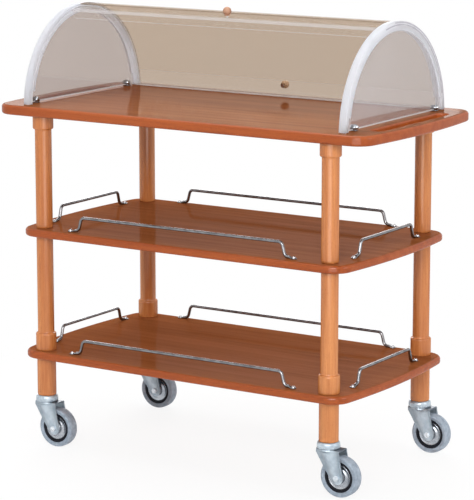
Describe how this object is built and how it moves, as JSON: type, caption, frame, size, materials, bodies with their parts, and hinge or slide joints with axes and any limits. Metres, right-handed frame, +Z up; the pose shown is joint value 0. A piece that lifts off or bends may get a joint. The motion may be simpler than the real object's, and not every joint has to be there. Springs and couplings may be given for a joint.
{
  "type": "serving trolley",
  "caption": "Wooden dessert trolley with open shelves, wire gallery rails, swivel casters and a clear roll-top dome whose covers slide in grooved arches.",
  "frame": {"origin": "on the floor, midway between the four posts", "axes": "+X along the trolley to its right-hand end, +Y to the rear, +Z up; the front is at -Y"},
  "size_m": [1.1038, 0.55, 1.1303],
  "materials": {
    "stained_wood": "gloss lacquer",
    "turned_wood": "gloss lacquer",
    "pale_wood": "satin lacquer",
    "chrome_wire": "polished",
    "chrome_clamp": "polished",
    "bright_steel": "bright zinc",
    "hub_steel": "bright zinc",
    "screw_steel": "plated",
    "black_plastic": "moulded",
    "grey_rubber": "non-marking, matt",
    "white_plastic": "extruded, satin",
    "clear_panel": "clear sheet, polished",
    "tinted_cover": "clear sheet with a light bronze tint, polished"
  },
  "bodies": {
    "trolley_frame": {"top_shelf": "stained_wood", "middle_shelf": "stained_wood", "bottom_shelf": "stained_wood", "upper_post_front_left": "turned_wood", "lower_post_front_left": "turned_wood", "leg_front_left": "turned_wood", "upper_post_front_right": "turned_wood", "lower_post_front_right": "turned_wood", "leg_front_right": "turned_wood", "upper_post_rear_left": "turned_wood", "lower_post_rear_left": "turned_wood", "leg_rear_left": "turned_wood", "upper_post_rear_right": "turned_wood", "lower_post_rear_right": "turned_wood", "leg_rear_right": "turned_wood", "middle_rail_front": "chrome_wire", "bottom_rail_front": "chrome_wire", "middle_rail_rear": "chrome_wire", "bottom_rail_rear": "chrome_wire", "middle_rail_left": "chrome_wire", "bottom_rail_left": "chrome_wire", "middle_rail_right": "chrome_wire", "bottom_rail_right": "chrome_wire", "post_studs": "screw_steel", "rail_screws": "screw_steel", "arch_screws": "screw_steel", "clamp_screws": "screw_steel", "caster_stems": "screw_steel", "caster_heads": "bright_steel", "panel_clamps": "chrome_clamp", "left_end_panel": "clear_panel", "right_end_panel": "clear_panel", "left_track_arch": "white_plastic", "right_track_arch": "white_plastic"},
    "rear_cover": {"rear_cover": "tinted_cover", "rear_knob": "pale_wood", "rear_knob_screw": "screw_steel"},
    "front_cover": {"front_cover": "tinted_cover", "front_knob": "pale_wood", "front_knob_screw": "screw_steel"},
    "front_left_fork": {"fork_front_left": "bright_steel", "axle_front_left": "bright_steel"},
    "front_left_wheel": {"wheel_core_front_left": "black_plastic", "hub_caps_front_left": "hub_steel", "tyre_front_left": "grey_rubber"},
    "front_right_fork": {"fork_front_right": "bright_steel", "axle_front_right": "bright_steel"},
    "front_right_wheel": {"wheel_core_front_right": "black_plastic", "hub_caps_front_right": "hub_steel", "tyre_front_right": "grey_rubber"},
    "rear_left_fork": {"fork_rear_left": "bright_steel", "axle_rear_left": "bright_steel"},
    "rear_left_wheel": {"wheel_core_rear_left": "black_plastic", "hub_caps_rear_left": "hub_steel", "tyre_rear_left": "grey_rubber"},
    "rear_right_fork": {"fork_rear_right": "bright_steel", "axle_rear_right": "bright_steel"},
    "rear_right_wheel": {"wheel_core_rear_right": "black_plastic", "hub_caps_rear_right": "hub_steel", "tyre_rear_right": "grey_rubber"}
  },
  "joints": [
    {"name": "rear_cover_roll", "type": "hinge", "parent": "trolley_frame", "child": "rear_cover", "pos_m": [0, 0, 0.871], "axis": [1, 0, 0], "range_deg": [0, 73.85]},
    {"name": "front_cover_roll", "type": "hinge", "parent": "rear_cover", "child": "front_cover", "pos_m": [0, 0, 0.871], "axis": [-1, 0, 0], "range_deg": [-73.85, 0]},
    {"name": "front_left_swivel", "type": "hinge", "parent": "trolley_frame", "child": "front_left_fork", "pos_m": [-0.418, -0.23, 0.113], "axis": [0, 0, 1], "continuous": true},
    {"name": "front_left_roll", "type": "hinge", "parent": "front_left_fork", "child": "front_left_wheel", "pos_m": [-0.383, -0.23, 0.05], "axis": [0, 1, 0], "continuous": true},
    {"name": "front_right_swivel", "type": "hinge", "parent": "trolley_frame", "child": "front_right_fork", "pos_m": [0.418, -0.23, 0.113], "axis": [0, 0, 1], "continuous": true},
    {"name": "front_right_roll", "type": "hinge", "parent": "front_right_fork", "child": "front_right_wheel", "pos_m": [0.453, -0.23, 0.05], "axis": [0, 1, 0], "continuous": true},
    {"name": "rear_left_swivel", "type": "hinge", "parent": "trolley_frame", "child": "rear_left_fork", "pos_m": [-0.418, 0.23, 0.113], "axis": [0, 0, 1], "continuous": true},
    {"name": "rear_left_roll", "type": "hinge", "parent": "rear_left_fork", "child": "rear_left_wheel", "pos_m": [-0.383, 0.23, 0.05], "axis": [0, 1, 0], "continuous": true},
    {"name": "rear_right_swivel", "type": "hinge", "parent": "trolley_frame", "child": "rear_right_fork", "pos_m": [0.418, 0.23, 0.113], "axis": [0, 0, 1], "continuous": true},
    {"name": "rear_right_roll", "type": "hinge", "parent": "rear_right_fork", "child": "rear_right_wheel", "pos_m": [0.453, 0.23, 0.05], "axis": [0, 1, 0], "continuous": true}
  ]
}
